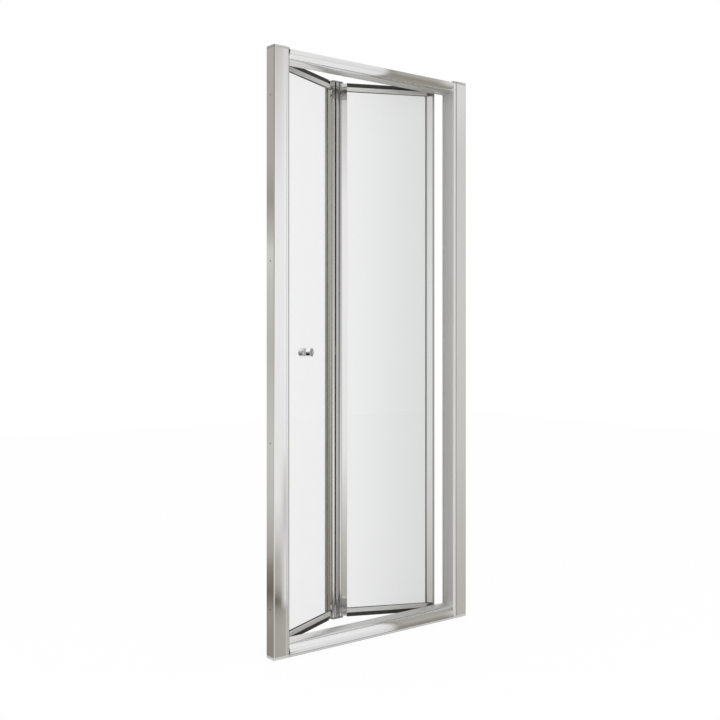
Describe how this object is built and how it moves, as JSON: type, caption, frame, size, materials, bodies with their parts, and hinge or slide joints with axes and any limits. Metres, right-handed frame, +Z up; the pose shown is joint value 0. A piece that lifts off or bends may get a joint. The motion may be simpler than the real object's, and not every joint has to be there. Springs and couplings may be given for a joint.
{
  "type": "bifold shower door",
  "caption": "Framed recess shower door: glazed panels joined by a slim centre hinge fold inwards, one on a fixed pivot, the other guided in the rounded head and threshold rails.",
  "frame": {"origin": "centre of the underside of the threshold, midway between the walls and midway through the frame's depth", "axes": "+X to the right seen from outside the shower, +Y into the shower, +Z up"},
  "size_m": [0.8, 0.2214, 1.85],
  "materials": {
    "polished_aluminium": "polished, silver",
    "bright_aluminium": "bright satin",
    "clear_glass": "clear toughened safety glass",
    "black_rubber": "matt black",
    "clear_plastic": "translucent, pale",
    "grey_plastic": "satin grey",
    "grey_nylon": "smooth nylon",
    "stainless": "plain stainless",
    "chrome": "bright chrome"
  },
  "bodies": {
    "frame": {"left_wall_channel": "polished_aluminium", "right_wall_channel": "polished_aluminium", "left_jamb": "polished_aluminium", "right_jamb": "polished_aluminium", "left_post_cap": "grey_plastic", "right_post_cap": "grey_plastic", "left_post_foot": "clear_plastic", "right_post_foot": "clear_plastic", "head_rail": "polished_aluminium", "bottom_rail": "polished_aluminium", "threshold_strip": "clear_plastic", "corner_screws": "stainless", "adjusting_screws": "stainless", "screw_caps": "grey_plastic", "top_pivot_block": "grey_nylon", "bottom_pivot_block": "grey_nylon", "top_pivot_pin": "stainless", "bottom_pivot_pin": "stainless", "jamb_magnet_strip": "grey_plastic", "jamb_gasket": "black_rubber"},
    "pivot_panel": {"pivot_glass": "clear_glass", "pivot_stile": "polished_aluminium", "inner_hinge_stile": "polished_aluminium", "pivot_top_rail": "bright_aluminium", "pivot_bottom_rail": "bright_aluminium", "pivot_top_seal": "black_rubber", "pivot_bottom_seal": "black_rubber", "pivot_glazing_gasket": "black_rubber", "pivot_edge_seal": "grey_plastic", "pivot_stile_plugs": "grey_nylon", "pivot_panel_screws": "stainless", "outer_knob": "chrome", "inner_knob": "chrome", "knob_stud": "stainless", "knob_washers": "clear_plastic"},
    "hinge": {"hinge_spine": "polished_aluminium", "hinge_top_cap": "grey_plastic", "hinge_bottom_cap": "grey_plastic", "hinge_pins": "stainless", "hinge_cap_screws": "stainless"},
    "leading_panel": {"leading_glass": "clear_glass", "leading_stile": "polished_aluminium", "outer_hinge_stile": "polished_aluminium", "leading_top_rail": "bright_aluminium", "leading_bottom_rail": "bright_aluminium", "leading_top_seal": "black_rubber", "leading_bottom_seal": "black_rubber", "leading_glazing_gasket": "black_rubber", "leading_magnet_seal": "grey_plastic", "leading_stile_plugs": "grey_nylon", "leading_panel_screws": "stainless", "top_guide_pin": "stainless", "bottom_guide_pin": "stainless"},
    "guide_roller": {"top_guide_roller": "grey_nylon"},
    "guide_shoe": {"bottom_guide_shoe": "grey_nylon"}
  },
  "joints": [
    {"name": "panel_fold", "type": "hinge", "parent": "frame", "child": "pivot_panel", "pos_m": [-0.3174, 0.03275, 0], "axis": [0, 0, 1], "range_deg": [-24.5, 57]},
    {"name": "hinge_inner", "type": "hinge", "parent": "pivot_panel", "child": "hinge", "pos_m": [-0.02143, 0.15774, 0], "axis": [0, 0, 1], "range_deg": [-57, 24.5]},
    {"name": "hinge_outer", "type": "hinge", "parent": "hinge", "child": "leading_panel", "pos_m": [0.00857, 0.15774, 0], "axis": [0, 0, 1], "range_deg": [-57, 24.5]},
    {"name": "shoe_swivel", "type": "hinge", "parent": "leading_panel", "child": "guide_shoe", "pos_m": [0.30453, 0.03275, 0], "axis": [0, 0, 1], "range_deg": [-24.5, 57]},
    {"name": "roller_spin", "type": "hinge", "parent": "leading_panel", "child": "guide_roller", "pos_m": [0.30453, 0.03275, 0], "axis": [0, 0, 1], "continuous": true}
  ],
  "couplings": [
    {"joint": "hinge_inner", "follows": "panel_fold", "ratio": -1},
    {"joint": "hinge_outer", "follows": "panel_fold", "ratio": -1},
    {"joint": "shoe_swivel", "follows": "panel_fold", "ratio": 1}
  ]
}
